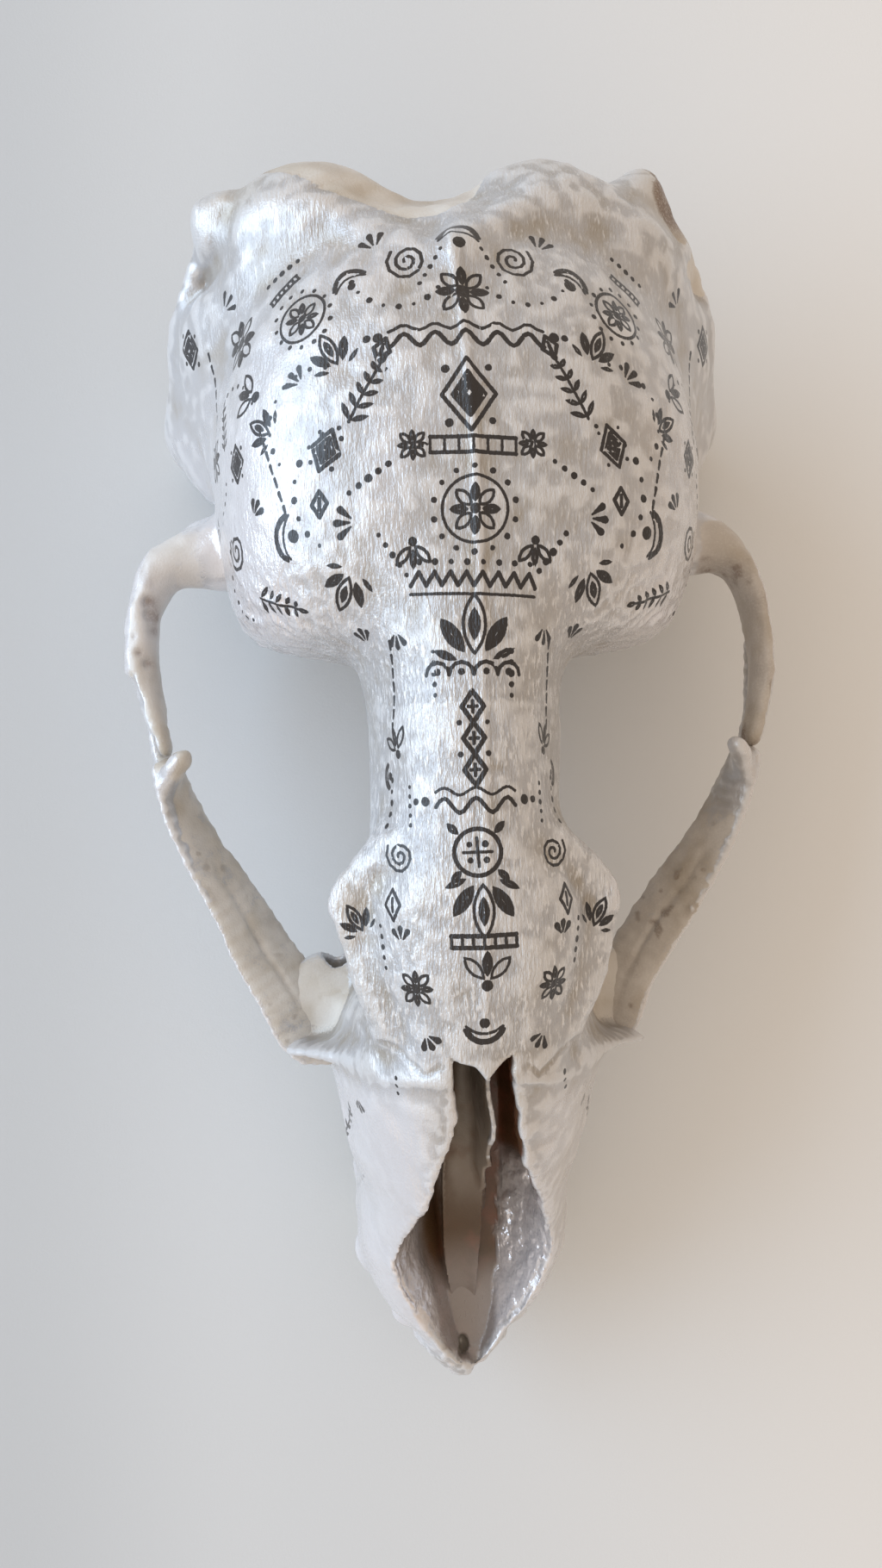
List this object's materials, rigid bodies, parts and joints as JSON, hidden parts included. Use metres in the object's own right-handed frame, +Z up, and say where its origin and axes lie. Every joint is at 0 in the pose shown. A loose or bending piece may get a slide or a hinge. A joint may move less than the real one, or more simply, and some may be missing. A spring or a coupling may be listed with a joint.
{
  "type": "seal skull",
  "caption": "Eared seal skull without its lower jaw, painted pearl white with a black line pattern; rests on its eye teeth and ear corners as a display piece.",
  "frame": {"origin": "on the surface that the skull rests on, under the middle of its outline", "axes": "+Z up, -Y towards the tip of the snout, +Y towards the back of the head, +X to the skull's own left cheek; names with left and right are the skull's own sides"},
  "size_m": [0.1318, 0.238, 0.0853],
  "materials": {
    "bone": "satin, brushed pearl white paint over bone",
    "cheek_bone": "matte, bare bone with pearl white paint on the outer side",
    "tooth": "semi-gloss enamel"
  },
  "bodies": {
    "root": {"cranium": "bone", "jugal_left": "cheek_bone", "jugal_right": "cheek_bone", "canine_left": "tooth", "incisor_left_1": "tooth", "incisor_left_2": "tooth", "incisor_left_3": "tooth", "postcanine_left_1": "tooth", "postcanine_left_2": "tooth", "postcanine_left_3": "tooth", "postcanine_left_4": "tooth", "postcanine_left_5": "tooth", "postcanine_left_6": "tooth", "canine_right": "tooth", "incisor_right_1": "tooth", "incisor_right_2": "tooth", "incisor_right_3": "tooth", "postcanine_right_1": "tooth", "postcanine_right_2": "tooth", "postcanine_right_3": "tooth", "postcanine_right_4": "tooth", "postcanine_right_5": "tooth", "postcanine_right_6": "tooth"}
  },
  "joints": []
}
